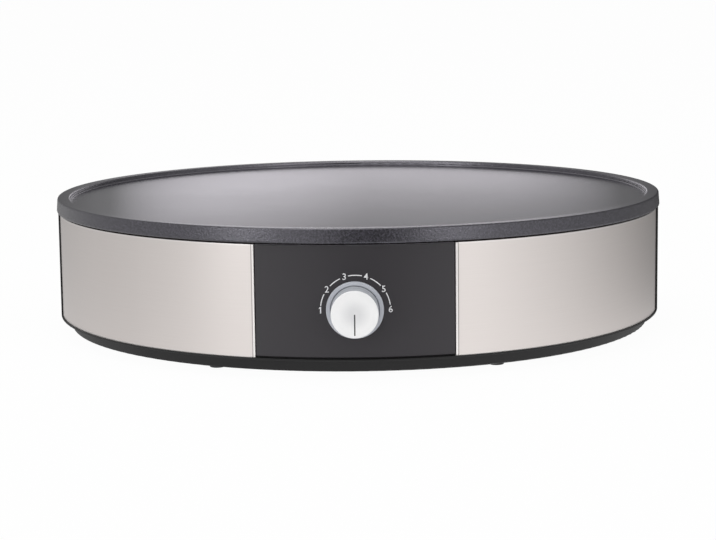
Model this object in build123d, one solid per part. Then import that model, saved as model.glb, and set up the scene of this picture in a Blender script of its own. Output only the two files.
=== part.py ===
from build123d import *

import math
import os

# Electric crepe maker: a round cooking plate on a low drum with two steel side panels, a control
# panel with one thermostat knob, and a tapered base on four small feet.
# Millimetres and degrees. +Z is up, the table is z = 0, and the drum's axis is Z. The control panel
# faces -Y. Angles round the drum are counted from the front, positive towards +X. Distances along
# the dial's axis are counted from the drum's axis outwards.

# ---- Driving dimensions: levels from the table up ----
foot_height = 3.0
skirt_height = 6.8
housing_height = 61.7
plate_gap = 0.6
rim_height = 7.9

# Cooking plate
plate_radius = 180.0
rim_draft = 0.6
rim_width = 7.0
rim_skirt_width = 6.0
recess_depth = 2.5
recess_step_height = 0.35
recess_step_width = 1.3
plate_thickness = 4.9
plate_boss_height = 5.0
plate_boss_radius = 7.0
plate_rib_count = 12
plate_rib_inset = 12.0
plate_rib_depth = 4.0
plate_rib_thickness = 3.0

# Heating element and what presses it into the plate
element_radius = 3.7
groove_clearance = 0.1
ridge_height = 9.0
ridge_wall = 3.2
loop_inset = 50.0
loop_spacing = 48.0
loop_gap_angle = 20.0
leg_bend_radius = 12.0
leg_length = 9.0
pin_radius = 1.1
pin_length = 10.0
seal_radius = 4.4
seal_length = 4.0
strap_angles = (60.0, 120.0, 180.0, 240.0, 300.0)
strap_width = 14.0
strap_overhang = 4.0
strap_thickness = 1.5
strap_boss_radius = 5.5

# Plate supports and heat reflector
support_angles = (45.0, 135.0, 225.0, 315.0)
support_inset = 15.0
insulator_height = 5.4
insulator_radius = 6.0
reflector_sheet = 0.6
reflector_gap = 2.5
reflector_wall_run = 6.0
reflector_flange_width = 17.0
reflector_hole_clearance = 2.3

# Housing
plate_overhang = 0.8
housing_wall = 2.6
lip_height = 1.0
shelf_thickness = 3.0
shelf_width = 22.0
top_flange_width = 3.0
top_flange_thickness = 2.0
rear_wall_angle = 79.5
step_web_thickness = 3.0
gusset_angles = (30.0, 90.0, 150.0, 210.0, 270.0, 330.0)
gusset_thickness = 2.4
gusset_run = 16.0
gusset_drop = 24.0

# Steel side panels
panel_recess = 1.0
panel_sheet = 0.8
panel_top_drop = 0.2
panel_hem_width = 2.6
panel_end_turn = 2.0
panel_end_radius = 0.5
panel_slot_clearance = 0.3
tab_angles = (40.0, 68.0)
tab_height = 28.0
tab_width = 8.0
tab_leaf_height = 6.0
tab_clearance = 0.2

# Control panel
control_half_angle = 17.1
control_gap = 0.6
control_thickness = 1.6
control_bottom_gap = 0.8
window_half_angle = 14.5
window_half_height = 20.4
control_screw_angle = 15.9
control_screw_offset = 14.0
control_screw_length = 3.8
control_peg_radius = 2.4
control_peg_clearance = 0.2
control_pad_radius = 4.8
control_pad_depth = 2.6

# Dial: knob, light ring and lamp
dial_drop = 34.3
light_ring_radius = 15.15
light_ring_inner_radius = 12.95
light_ring_stand = 0.6
light_ring_web = 1.6
light_ring_web_depth = 2.2
light_ring_flange_radius = 18.6
light_ring_flange = 1.6
light_ring_pad_margin = 1.4
dial_hole_clearance = 0.1
spindle_hole_radius = 4.0
knob_radius = 12.5
knob_draft = 0.15
knob_stand = 13.8
knob_wall = 1.6
knob_sink = 1.2
knob_hub_radius = 5.2
knob_rib_angles = (45.0, 135.0, 225.0, 315.0)
knob_rib_thickness = 1.2
knob_rib_setback = 1.4
cap_rim = 0.1
cap_thickness = 0.8
cap_spigot_radius = 9.0
cap_spigot = 0.6
cap_clearance = 0.05
pointer_width = 0.7
pointer_length = 11.1
pointer_sink = 0.1
spring_thickness = 0.4
spring_width = 3.0
spring_length = 7.0
lamp_radius = 1.8
lamp_length = 9.6
lamp_offset = 16.4
holder_wall = 0.7
holder_length = 10.0
holder_flange_radius = 3.4
holder_flange = 1.0

# Thermostat
spindle_radius = 3.0
spindle_clearance = 0.05
spindle_flat = 2.2
spindle_reach = 8.2
spindle_collar_radius = 4.2
spindle_collar = 1.3
collar_clearance = 0.15
spindle_tail_radius = 2.0
spindle_tail = 5.0
tail_clearance = 0.3
bush_radius = 4.4
bush_gap = 0.6
bracket_sheet = 1.2
bracket_half_width = 32.0
bracket_below = 15.0
bracket_above = 19.6
bracket_flange = 8.0
bracket_hole_clearance = 0.2
bracket_boss_offset = 26.0
bracket_boss_radius = 3.6
bracket_screw_length = 3.0
thermostat_plate_half_width = 18.0
thermostat_plate_half_height = 10.0
thermostat_plate_thickness = 1.6
thermostat_screw_offset = 14.0
thermostat_screw_radius = 1.9
thermostat_screw_length = 4.6
countersink_radius = 3.0
countersink_depth = 1.1
cup_radius = 11.6
cup_length = 11.0
nipple_radius = 1.8
nipple_length = 2.4
head_width = 30.0
head_height = 30.0
head_length = 16.6
blade_offset = 8.0
blade_width = 6.3
blade_thickness = 0.8
blade_length = 8.0
blade_rise = 4.0

# Sensor bulb, capillary and thermal fuse
cradle_height = 7.5
cradle_half_width = 12.0
clip_sheet = 0.8
clip_screw_offset = 8.0
bulb_radius = 3.0
bulb_length = 62.0
bulb_place = -20.0
bulb_cradle_half_length = 22.0
bulb_clip_width = 12.0
capillary_radius = 0.8
fuse_radius = 2.2
fuse_place = 24.0
fuse_half_length = 6.5
fuse_clip_width = 8.0
lead_radius = 0.5
lead_reach = 18.0
lead_drop = 9.0
capillary_exit_run = 13.0
capillary_end_run = 15.0
capillary_drop = 7.0
capillary_rise_run = 40.0

# Wiring
wire_radius = 1.2
crimp_radius = 1.9
crimp_length = 7.0
crimp_bite = 1.0
largest_bend = 40.0
wire_exit_run = 18.0
wire_fall_run = 36.0
wire_rise_run = 14.0
wire_pole_run = 14.0
wire_end_gap = 1.0
switched_drop = 20.0
heater_drop = 18.0
earth_run = 16.0
receptacle_wall = 0.8
receptacle_back = 2.0
receptacle_bite = 0.5
receptacle_grip = 7.0
block_centre_x = 34.0
block_inset = 19.0
block_width = 36.0
block_depth = 18.0
block_height = 13.0
plinth_height = 2.0
pole_pitch = 11.0
sleeve_size = 4.4
sleeve_bore = 1.5
sleeve_inset = 2.0
sleeve_floor = 1.4
terminal_screw_offset = 4.5
terminal_screw_radius = 1.25
terminal_screw_head_radius = 2.0
well_radius = 2.3
block_screw_bite = 3.6
earth_boss_x = 40.0
earth_boss_y = 34.0
earth_boss_radius = 4.5
earth_tag_radius = 4.2
earth_tag_sheet = 0.8
earth_tail = 6.0

# Screws
screw_radius = 1.9
screw_head_radius = 3.6
screw_head = 2.2
small_screw_radius = 1.1
small_head_radius = 3.0
small_head = 1.8
hole_clearance = 0.05
passing_clearance = 0.25
plate_screw_bite = 4.0
small_bite = 6.0
base_screw_bite = 12.0

# Cord gland in the rear wall
gland_height = 18.2
gland_bore = 3.75
gland_shank_radius = 6.9
gland_shank_clearance = 0.1
gland_flange_radius = 10.0
gland_flange = 3.0
gland_nose = 8.0
gland_nose_radius = 6.2
gland_seat_depth = 1.2
gland_seat_margin = 1.0
gland_pad_radius = 12.0
gland_pad_depth = 5.5
gland_tail = 3.0
nut_thickness = 4.0
nut_across_flats = 19.0

# Base and feet
base_land = 0.2
skirt_taper = 2.6
base_floor = 2.5
base_edge_radius = 1.2
upstand_height = 4.2
upstand_wall = 2.4
locating_clearance = 0.3
base_ring_inset = 29.8
base_hub_radius = 40.0
base_rib_height = 2.0
base_rib_thickness = 2.0
base_rib_count = 8
vent_count = 16
vent_margin = 27.0
vent_length = 56.0
vent_width = 5.0
column_angles = (60.0, 120.0, 240.0, 300.0)
column_inset = 10.8
column_radius = 5.0
column_web_start = 6.0
pillar_radius = 6.5
base_screw_recess = 3.5
base_screw_recess_radius = 4.6
foot_angles = {"front_right": 28.5, "rear_right": 151.5, "rear_left": 208.5, "front_left": 331.5}
foot_inset = 16.3
foot_radius = 4.3
foot_collar = 1.2
foot_collar_radius = 5.2
foot_stem_radius = 2.5
foot_stem_clearance = 0.1
foot_head_radius = 3.4
foot_head = 1.8

# ---- Levels ----
floor_z = foot_height + base_floor
housing_z = foot_height + skirt_height
lip_z = housing_z + lip_height
housing_top_z = housing_z + housing_height
panel_top_z = housing_top_z - panel_top_drop
front_top_z = panel_top_z - panel_sheet
rim_z = housing_top_z + plate_gap
top_z = rim_z + rim_height
cooking_z = top_z - recess_depth
under_z = cooking_z - plate_thickness
boss_z = under_z - plate_boss_height
insulator_z = boss_z - insulator_height
shelf_z = insulator_z - reflector_sheet
shelf_under_z = shelf_z - shelf_thickness
ridge_z = under_z - ridge_height
element_z = ridge_z + element_radius
strap_z = ridge_z - strap_thickness
reflector_top_z = strap_z - small_head - reflector_gap
reflector_z = reflector_top_z - reflector_sheet
leg_z = reflector_z - leg_length
lead_z = reflector_z - lead_drop
cradle_z = under_z - cradle_height
clip_z = cradle_z - clip_sheet
dial_z = panel_top_z - dial_drop
lamp_z = dial_z + lamp_offset
blade_z = dial_z + blade_rise
tab_z = housing_z + tab_height
gland_z = housing_z + gland_height
block_z = floor_z + plinth_height
block_top_z = block_z + block_height
bore_z = block_z + sleeve_floor + sleeve_size / 2
wire_z = floor_z + base_rib_height + wire_radius

# ---- Radii ----
housing_radius = plate_radius - plate_overhang
panel_radius = housing_radius - panel_recess
front_wall_radius = panel_radius - panel_sheet
front_inner_radius = front_wall_radius - housing_wall
rear_inner_radius = housing_radius - housing_wall
control_seat_radius = panel_radius - control_thickness
shelf_inner_radius = front_inner_radius - shelf_width
reflector_radius = shelf_inner_radius + reflector_flange_width
support_radius = front_inner_radius - support_inset
column_place_radius = front_inner_radius - column_inset
outer_loop_radius = plate_radius - loop_inset
inner_loop_radius = outer_loop_radius - loop_spacing
middle_loop_radius = (outer_loop_radius + inner_loop_radius) / 2
groove_radius = element_radius + groove_clearance
ridge_half_width = groove_radius + ridge_wall
upstand_radius = front_inner_radius - locating_clearance
base_top_radius = front_inner_radius + base_land
base_bottom_radius = base_top_radius - skirt_taper
base_ring_radius = front_inner_radius - base_ring_inset
foot_place_radius = front_inner_radius - foot_inset
block_centre_y = base_ring_radius - block_inset

# ---- Distances along the dial's axis ----
ring_front = panel_radius + light_ring_stand
ring_web_front = ring_front - light_ring_web_depth
ring_web_back = ring_web_front - light_ring_web
bracket_front = ring_web_back - light_ring_flange
bracket_back = bracket_front - bracket_sheet
thermostat_back = bracket_back - thermostat_plate_thickness
cup_back = thermostat_back - cup_length
head_back = cup_back - head_length
blade_end = head_back - blade_length
knob_front = ring_front + knob_stand
knob_back = ring_front - knob_sink
cap_back = knob_front - cap_thickness
cap_radius = knob_radius - cap_rim

# ---- Angles ----
side_start = control_half_angle + math.degrees(control_gap / panel_radius)
slot_angle = math.degrees(panel_slot_clearance / panel_radius)
side_end = rear_wall_angle - slot_angle
sheet_angle = math.degrees(panel_sheet / panel_radius)
step_web_angle = math.degrees(step_web_thickness / housing_radius)


# ---- Shared shapes ----
def spot(angle, radius, height=0.0):
    """Point at an angle from the front, a radius and a height."""
    turn = math.radians(angle)
    return (radius * math.sin(turn), -radius * math.cos(turn), height)


def meridian(angle):
    """Upright plane through the axis: local x is the radius, local y the height."""
    turn = math.radians(angle)
    return Plane((0, 0, 0), (math.sin(turn), -math.cos(turn), 0), (-math.cos(turn), -math.sin(turn), 0))


def facing(angle, distance):
    """Upright plane square to a radius, seen from outside: local x to the right, local y up."""
    turn = math.radians(angle)
    return Plane(spot(angle, distance), (math.cos(turn), math.sin(turn), 0), spot(angle, 1.0))


def outline(*corners):
    """Closed face from corners given as (x, y) or (x, y, fillet radius)."""
    points = [corner[:2] for corner in corners]
    radii = [corner[2] if len(corner) > 2 else 0 for corner in corners]
    return make_face(FilletPolyline(*points, radius=radii, close=True))


def oblong(x0, x1, y0, y1, radius=0.0):
    """Rectangle between two pairs of limits, with rounded corners where a radius is given."""
    return outline((x0, y0, radius), (x1, y0, radius), (x1, y1, radius), (x0, y1, radius))


def block(x0, x1, y0, y1, z0, z1, radius=0.0):
    """Upright block between three pairs of limits."""
    return extrude(Plane((0, 0, z0)) * oblong(x0, x1, y0, y1, radius), z1 - z0)


def turned(*corners):
    """Solid of revolution about Z from (radius, height) corners."""
    return revolve(Plane.XZ * outline(*corners), Axis.Z)


def segment(face, start, end):
    """Face in the meridian plane, carried round the axis from one angle to another."""
    return revolve(meridian(start) * face, Axis.Z, revolution_arc=end - start)


def rod(x, y, radius, z0, z1):
    """Upright round bar."""
    return extrude(Plane((x, y, z0)) * Circle(radius), z1 - z0)


def bar(angle, x, z, radius, near, far):
    """Round bar square to a facing plane, from one distance to another."""
    return extrude(facing(angle, near) * Pos(x, z) * Circle(radius), far - near)


def slab(angle, face, near, far):
    """Face drawn on a facing plane, thickened from one distance to another."""
    return extrude(facing(angle, near) * face, far - near)


def dial_turned(*corners):
    """Solid turned about the dial's axis from (radius, distance) corners."""
    return Plane((0, 0, dial_z), (1, 0, 0), (0, -1, 0)) * turned(*corners)


def screw(shank, length, head, head_height):
    """Screw pointing up: its head hangs below z = 0 and bears there, its shank rises from it."""
    return turned(
        (0, -head_height),
        (0.7 * head, -head_height),
        (head, -0.5 * head_height),
        (head, 0),
        (shank, 0),
        (shank, length),
        (0, length),
    )


def node(pieces):
    """Separate solids kept together in one node."""
    return Compound(children=[solid for piece in pieces for solid in piece.solids()])


def bend_radii(points):
    """Fillet radius at each inner point of a wire: as large as the two runs beside it allow."""
    radii = []
    for before, here, after in zip(points, points[1:], points[2:]):
        run_in = Vector(*here) - Vector(*before)
        run_out = Vector(*after) - Vector(*here)
        half_turn = math.radians(run_in.get_angle(run_out)) / 2
        shorter = min(run_in.length, run_out.length)
        radii.append(min(0.45 * shorter / math.tan(half_turn), largest_bend))
    return radii


def tube(points, radius):
    """Round wire along straight runs joined by tangent arcs."""
    path = FilletPolyline(*points, radius=bend_radii(points))
    start = Plane(points[0], z_dir=Vector(*points[1]) - Vector(*points[0]))
    return sweep(start * Circle(radius), path=path)


# ---- Cooking plate and heating element ----
def loop_path(face_at):
    """A section carried along the element's double loop: outer arc, U-bend and inner arc.

    face_at(radius) is the section in the meridian plane for an arc of that radius.
    """
    far = 360.0 - loop_gap_angle
    outer = segment(face_at(outer_loop_radius), loop_gap_angle, far)
    inner = segment(face_at(inner_loop_radius), loop_gap_angle, far)
    turn_axis = Axis(spot(far, middle_loop_radius), (0, 0, 1))
    bend = revolve(meridian(far) * face_at(outer_loop_radius), turn_axis, revolution_arc=180)
    return outer + bend + inner


def ridge_face(radius):
    return oblong(radius - ridge_half_width, radius + ridge_half_width, ridge_z, under_z + 1)


def groove_face(radius):
    slot = Pos(radius, element_z - ridge_height) * Rectangle(2 * groove_radius, 2 * ridge_height)
    return slot + Pos(radius, element_z) * Circle(groove_radius)


def element_face(radius):
    return Pos(radius, element_z) * Circle(element_radius)


def leg_places():
    """Where the element's two legs come down, just past the start of each arc."""
    heading = Vector(*spot(loop_gap_angle - 90, 1.0))
    return [
        Vector(*spot(loop_gap_angle, radius)) + leg_bend_radius * heading
        for radius in (outer_loop_radius, inner_loop_radius)
    ]


def cradle(place, tube_radius, half_length):
    """Block under the plate, and the groove along X in it that takes a round piece from below."""
    bed = block(
        -half_length, half_length, place - cradle_half_width, place + cradle_half_width,
        cradle_z, under_z + 1, 2.0,
    )
    width = 2 * (tube_radius + groove_clearance)
    mouth = Pos(0, -cradle_height) * Rectangle(width, 2 * cradle_height) + Circle(width / 2)
    side = Plane((-half_length - 1, place, cradle_z + tube_radius), (0, 1, 0), (1, 0, 0))
    return bed, extrude(side * mouth, 2 * half_length + 2)


def clip_holes(place):
    return [
        rod(0, place + way * clip_screw_offset, small_screw_radius + hole_clearance, clip_z, under_z)
        for way in (-1, 1)
    ]


def make_baking_plate():
    rim_foot = plate_radius - rim_skirt_width
    wall_top = plate_radius - rim_draft - rim_width
    step_z = cooking_z + recess_step_height
    plate = turned(
        (0, under_z),
        (rim_foot, under_z),
        (rim_foot, rim_z),
        (plate_radius, rim_z, 0.9),
        (plate_radius - rim_draft, top_z, 1.0),
        (wall_top, top_z, 0.7),
        (wall_top - 0.3, step_z, 0.8),
        (wall_top - recess_step_width, step_z, 0.15),
        (wall_top - recess_step_width, cooking_z),
        (0, cooking_z),
    )
    rib_end = plate_radius - plate_rib_inset
    rib = Pos(0, -(outer_loop_radius + rib_end) / 2, under_z - plate_rib_depth / 2 + 0.5) * Box(
        plate_rib_thickness, rib_end - outer_loop_radius, plate_rib_depth + 1
    )
    for i in range(plate_rib_count):
        plate += Rot(0, 0, 360.0 / plate_rib_count * (i + 0.5)) * rib
    for angle in support_angles:
        x, y, _ = spot(angle, support_radius)
        plate += rod(x, y, plate_boss_radius, boss_z, under_z + 1)
    for angle in strap_angles:
        x, y, _ = spot(angle, middle_loop_radius)
        plate += rod(x, y, strap_boss_radius, ridge_z, under_z + 1)
    plate += rod(earth_boss_x, earth_boss_y, earth_boss_radius, reflector_top_z, under_z + 1)
    bulb_bed, bulb_groove = cradle(bulb_place, bulb_radius, bulb_cradle_half_length)
    fuse_bed, fuse_groove = cradle(fuse_place, fuse_radius, fuse_half_length)
    plate += loop_path(ridge_face) + bulb_bed + fuse_bed
    plate -= loop_path(groove_face)
    plate -= bulb_groove
    plate -= fuse_groove
    for hole in clip_holes(bulb_place) + clip_holes(fuse_place):
        plate -= hole
    for angle in support_angles:
        x, y, _ = spot(angle, support_radius)
        plate -= rod(x, y, screw_radius + hole_clearance, boss_z, boss_z + plate_screw_bite + 0.5)
    for angle in strap_angles:
        x, y, _ = spot(angle, middle_loop_radius)
        plate -= rod(x, y, small_screw_radius + hole_clearance, ridge_z, ridge_z + small_bite + 0.5)
    plate -= rod(
        earth_boss_x, earth_boss_y, screw_radius + hole_clearance,
        reflector_top_z, reflector_top_z + small_bite + 0.5,
    )
    return plate


def make_heating_element():
    element = loop_path(element_face)
    heading = Vector(*spot(loop_gap_angle - 90, 1.0))
    for radius, place in zip((outer_loop_radius, inner_loop_radius), leg_places()):
        centre = Vector(*spot(loop_gap_angle, radius, element_z - leg_bend_radius))
        bend_axis = Axis(centre, heading.cross(Vector(0, 0, -1)))
        element += revolve(
            meridian(loop_gap_angle) * element_face(radius), bend_axis, revolution_arc=90
        )
        element += rod(place.X, place.Y, element_radius, leg_z, element_z - leg_bend_radius)
        element += rod(place.X, place.Y, pin_radius, leg_z - pin_length, leg_z)
    return element


def make_element_seals():
    return node([
        rod(place.X, place.Y, seal_radius, leg_z - seal_length, leg_z)
        - rod(place.X, place.Y, pin_radius + hole_clearance, leg_z - seal_length, leg_z)
        for place in leg_places()
    ])


def make_element_straps():
    reach = (outer_loop_radius - inner_loop_radius) / 2 + strap_overhang
    strap = block(-strap_width / 2, strap_width / 2, -reach, reach, strap_z, ridge_z, 3.0)
    strap -= rod(0, 0, small_screw_radius + passing_clearance, strap_z, ridge_z)
    return node([
        Rot(0, 0, angle) * Pos(0, -middle_loop_radius, 0) * strap for angle in strap_angles
    ])


def make_strap_screws():
    return node([
        Pos(*spot(angle, middle_loop_radius, strap_z))
        * screw(small_screw_radius, strap_thickness + small_bite, small_head_radius, small_head)
        for angle in strap_angles
    ])


def make_plate_insulators():
    insulator = turned(
        (screw_radius + passing_clearance, insulator_z),
        (insulator_radius, insulator_z),
        (insulator_radius, boss_z),
        (screw_radius + passing_clearance, boss_z),
    )
    return node([Pos(*spot(angle, support_radius)) * insulator for angle in support_angles])


def make_plate_screws():
    length = boss_z - shelf_under_z + plate_screw_bite
    return node([
        Pos(*spot(angle, support_radius, shelf_under_z))
        * screw(screw_radius, length, screw_head_radius, screw_head)
        for angle in support_angles
    ])


def make_heat_reflector():
    wall_top = shelf_inner_radius - 1.0
    wall_foot = wall_top - reflector_wall_run
    dish = turned(
        (0, reflector_z),
        (wall_foot, reflector_z),
        (wall_top, shelf_z),
        (reflector_radius, shelf_z),
        (reflector_radius, insulator_z),
        (wall_top, insulator_z),
        (wall_foot, reflector_top_z),
        (0, reflector_top_z),
    )
    for angle in support_angles:
        x, y, _ = spot(angle, support_radius)
        dish -= rod(x, y, screw_radius + passing_clearance, shelf_z, insulator_z)
    for place in leg_places():
        hole = element_radius + reflector_hole_clearance
        dish -= rod(place.X, place.Y, hole, reflector_z, reflector_top_z)
    for way in (-1, 1):
        hole = lead_radius + reflector_hole_clearance
        dish -= rod(way * lead_reach, fuse_place, hole, reflector_z, reflector_top_z)
    x, y, _ = capillary_points()[-3]
    dish -= rod(x, y, capillary_radius + reflector_hole_clearance, reflector_z, reflector_top_z)
    dish -= rod(
        earth_boss_x, earth_boss_y, screw_radius + passing_clearance, reflector_z, reflector_top_z
    )
    return dish


# ---- Housing and panels ----
def make_housing():
    flange_radius = front_inner_radius - top_flange_width
    flange_under_z = front_top_z - top_flange_thickness
    housing = turned(
        (front_inner_radius, housing_z),
        (housing_radius, housing_z, 0.3),
        (housing_radius, housing_top_z, 0.6),
        (flange_radius, housing_top_z),
        (flange_radius, flange_under_z),
        (front_inner_radius, flange_under_z),
    )
    inside_wall = control_seat_radius - 0.2
    hollow = oblong(front_inner_radius - 1, rear_inner_radius, lip_z, flange_under_z)
    housing -= segment(
        hollow, rear_wall_angle + step_web_angle, 360 - rear_wall_angle - step_web_angle
    )
    housing += turned(
        (shelf_inner_radius, shelf_under_z),
        (inside_wall, shelf_under_z),
        (inside_wall, shelf_z),
        (shelf_inner_radius, shelf_z),
    )
    for angle in gusset_angles:
        gusset = outline(
            (front_inner_radius - gusset_run, shelf_under_z + 1),
            (inside_wall, shelf_under_z - gusset_drop),
            (inside_wall, shelf_under_z + 1),
        )
        half = math.degrees(gusset_thickness / 2 / front_inner_radius)
        housing += segment(gusset, angle - half, angle + half)
    for angle in column_angles:
        x, y, _ = spot(angle, column_place_radius)
        housing += rod(x, y, column_radius, housing_z, shelf_z)
        half = math.degrees(gusset_thickness / 2 / front_inner_radius)
        web = oblong(column_place_radius, inside_wall, housing_z + column_web_start, shelf_z)
        housing += segment(web, angle - half, angle + half)
    housing += bar(
        180, 0, gland_z, gland_pad_radius, housing_radius - gland_seat_depth - gland_pad_depth,
        rear_inner_radius + 1,
    )
    for angle in (-control_screw_angle, control_screw_angle):
        for way in (-1, 1):
            housing += bar(
                angle, 0, dial_z + way * control_screw_offset, control_pad_radius,
                front_inner_radius - control_pad_depth, front_inner_radius + 0.8,
            )
    return housing - housing_cuts()


def housing_cuts():
    """Everything taken out of the housing: window, recess, slots and holes."""
    beyond = housing_radius + 1
    window = oblong(
        front_inner_radius - control_pad_depth - 1, beyond,
        dial_z - window_half_height, dial_z + window_half_height,
    )
    top = oblong(front_inner_radius - top_flange_width - 1, beyond, front_top_z, housing_top_z + 1)
    relief = oblong(front_wall_radius, beyond, lip_z, housing_top_z + 1)
    cuts = [
        segment(relief, -rear_wall_angle, rear_wall_angle),
        segment(top, -rear_wall_angle, rear_wall_angle),
        segment(window, -window_half_angle, window_half_angle),
        segment(oblong(control_seat_radius, beyond, lip_z, front_top_z + 1), -side_start, side_start),
    ]
    slot = oblong(
        panel_radius - panel_end_turn - panel_slot_clearance, beyond, lip_z, front_top_z + 1
    )
    for way in (-1, 1):
        near = (way * (side_start - 0.01), way * (side_start + sheet_angle + slot_angle))
        far = (way * (side_end - sheet_angle - slot_angle), way * rear_wall_angle)
        for start, end in (near, far):
            cuts.append(segment(slot, min(start, end), max(start, end)))
        for angle in tab_angles:
            half_width = tab_width / 2 + tab_clearance
            half_height = panel_sheet / 2 + tab_clearance
            mouth = oblong(-half_width, half_width, tab_z - half_height, tab_z + half_height)
            cuts.append(slab(way * angle, mouth, front_inner_radius - 2, beyond))
        for lift in (-1, 1):
            cuts.append(bar(
                way * control_screw_angle, 0, dial_z + lift * control_screw_offset,
                control_peg_radius + control_peg_clearance,
                front_inner_radius - control_pad_depth - 1, beyond,
            ))
    for angle in support_angles:
        x, y, _ = spot(angle, support_radius)
        cuts.append(rod(x, y, screw_radius + passing_clearance, shelf_under_z, shelf_z))
    for angle in column_angles:
        x, y, _ = spot(angle, column_place_radius)
        cuts.append(rod(
            x, y, screw_radius + hole_clearance, housing_z, housing_z + base_screw_bite + 1
        ))
    seat = housing_radius - gland_seat_depth
    cuts.append(bar(180, 0, gland_z, gland_flange_radius + gland_seat_margin, seat, beyond))
    hole = gland_shank_radius + gland_shank_clearance
    cuts.append(bar(180, 0, gland_z, hole, seat - gland_pad_depth, beyond))
    return cuts


def make_side_panel(way):
    """Steel panel on one side: way is -1 for the left and 1 for the right."""
    inner = panel_radius - panel_sheet
    sheet = outline(
        (inner, lip_z),
        (panel_radius, lip_z),
        (panel_radius, panel_top_z, 0.6),
        (inner - panel_hem_width, panel_top_z),
        (inner - panel_hem_width, front_top_z),
        (inner, front_top_z),
    )
    end = oblong(panel_radius - panel_end_turn, panel_radius - 0.3, lip_z, front_top_z)
    panel = segment(sheet, side_start, side_end)
    panel += segment(end, side_start, side_start + sheet_angle)
    panel += segment(end, side_end - sheet_angle, side_end)
    leaf_face = math.sqrt(front_inner_radius**2 - (tab_width / 2) ** 2)
    for angle in tab_angles:
        tongue = oblong(
            -tab_width / 2, tab_width / 2, tab_z - panel_sheet / 2, tab_z + panel_sheet / 2
        )
        leaf = oblong(
            -tab_width / 2, tab_width / 2, tab_z - panel_sheet / 2, tab_z + tab_leaf_height
        )
        panel += slab(angle, tongue, leaf_face - panel_sheet, inner + panel_sheet / 2)
        panel += slab(angle, leaf, leaf_face - panel_sheet, leaf_face)
    edges = [
        edge for edge in panel.edges().filter_by(Axis.Z)
        if abs(math.hypot(edge.center().X, edge.center().Y) - panel_radius) < 0.01
    ]
    panel = fillet(edges, panel_end_radius)
    return panel if way > 0 else mirror(panel, Plane.YZ)


def make_control_panel():
    bottom = lip_z + control_bottom_gap
    hem = control_seat_radius - panel_hem_width
    panel = segment(
        outline(
            (control_seat_radius, bottom),
            (panel_radius, bottom, 0.4),
            (panel_radius, panel_top_z, 0.5),
            (hem, panel_top_z),
            (hem, front_top_z),
            (control_seat_radius, front_top_z),
        ),
        -control_half_angle, control_half_angle,
    )
    inside = rod(0, 0, panel_radius - control_thickness / 2, bottom, panel_top_z)
    pad_radius = light_ring_flange_radius + light_ring_pad_margin
    backing = bar(0, 0, dial_z, pad_radius, ring_web_back, panel_radius)
    for way in (-1, 1):
        backing += bar(
            0, way * bracket_boss_offset, dial_z, bracket_boss_radius, bracket_front, panel_radius
        )
        for lift in (-1, 1):
            backing += bar(
                way * control_screw_angle, 0, dial_z + lift * control_screw_offset,
                control_peg_radius, front_inner_radius - control_pad_depth + 0.2, panel_radius,
            )
    panel += backing & inside
    panel -= bar(0, 0, dial_z, light_ring_radius + dial_hole_clearance, ring_web_back, panel_radius + 1)
    pilot = small_screw_radius + hole_clearance
    for way in (-1, 1):
        panel -= bar(
            0, way * bracket_boss_offset, dial_z, pilot,
            bracket_front, bracket_back + bracket_screw_length + 0.2,
        )
        for lift in (-1, 1):
            pad = front_inner_radius - control_pad_depth
            panel -= bar(
                way * control_screw_angle, 0, dial_z + lift * control_screw_offset, pilot,
                pad, pad + control_screw_length + 0.2,
            )
    return panel


def make_panel_screws():
    return node([
        facing(way * control_screw_angle, front_inner_radius - control_pad_depth)
        * Pos(0, dial_z + lift * control_screw_offset, 0)
        * screw(small_screw_radius, control_screw_length, screw_head_radius, small_head)
        for way in (-1, 1)
        for lift in (-1, 1)
    ])


# ---- Dial ----
def make_light_ring():
    return dial_turned(
        (spindle_hole_radius, ring_web_back),
        (light_ring_inner_radius, ring_web_back),
        (light_ring_inner_radius, bracket_front),
        (light_ring_flange_radius, bracket_front),
        (light_ring_flange_radius, ring_web_back),
        (light_ring_radius, ring_web_back),
        (light_ring_radius, ring_front, 0.4),
        (light_ring_inner_radius, ring_front, 0.3),
        (light_ring_inner_radius, ring_web_front),
        (spindle_hole_radius, ring_web_front),
    )


def d_section(radius, flat):
    """Round section with one flat on its upper side, drawn on the facing plane."""
    full = Pos(0, dial_z) * Circle(radius)
    return full & (Pos(0, dial_z + flat - 2 * radius) * Rectangle(4 * radius, 4 * radius))


def make_knob_body():
    rear_radius = knob_radius + knob_draft
    face_back = cap_back - cap_spigot - knob_wall
    body = dial_turned(
        (0, cap_back - cap_spigot),
        (cap_spigot_radius + cap_clearance, cap_back - cap_spigot),
        (cap_spigot_radius + cap_clearance, cap_back),
        (knob_radius, cap_back),
        (rear_radius, knob_back, 0.3),
        (rear_radius - knob_wall, knob_back),
        (knob_radius - knob_wall, face_back, 0.8),
        (knob_hub_radius, face_back),
        (knob_hub_radius, knob_back),
        (0, knob_back),
    )
    rib = oblong(knob_hub_radius - 0.5, rear_radius - knob_wall + 0.5, -knob_rib_thickness / 2,
                 knob_rib_thickness / 2)
    for angle in knob_rib_angles:
        body += slab(0, Pos(0, dial_z) * Rot(0, 0, angle) * rib, knob_back + knob_rib_setback,
                     face_back + 0.5)
    bore = d_section(spindle_radius + spindle_clearance, spindle_flat + spring_thickness)
    return body - slab(0, bore, knob_back, knob_back + spindle_reach + 0.4)


def make_knob_cap():
    cap = dial_turned(
        (0, cap_back - cap_spigot),
        (cap_spigot_radius, cap_back - cap_spigot),
        (cap_spigot_radius, cap_back),
        (cap_radius, cap_back),
        (cap_radius, knob_front, 0.3),
        (0, knob_front),
    )
    return cap - slab(0, pointer_face(), cap_back, knob_front)


def pointer_face():
    half = pointer_width / 2
    return oblong(-half, half, dial_z - pointer_length, dial_z)


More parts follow.
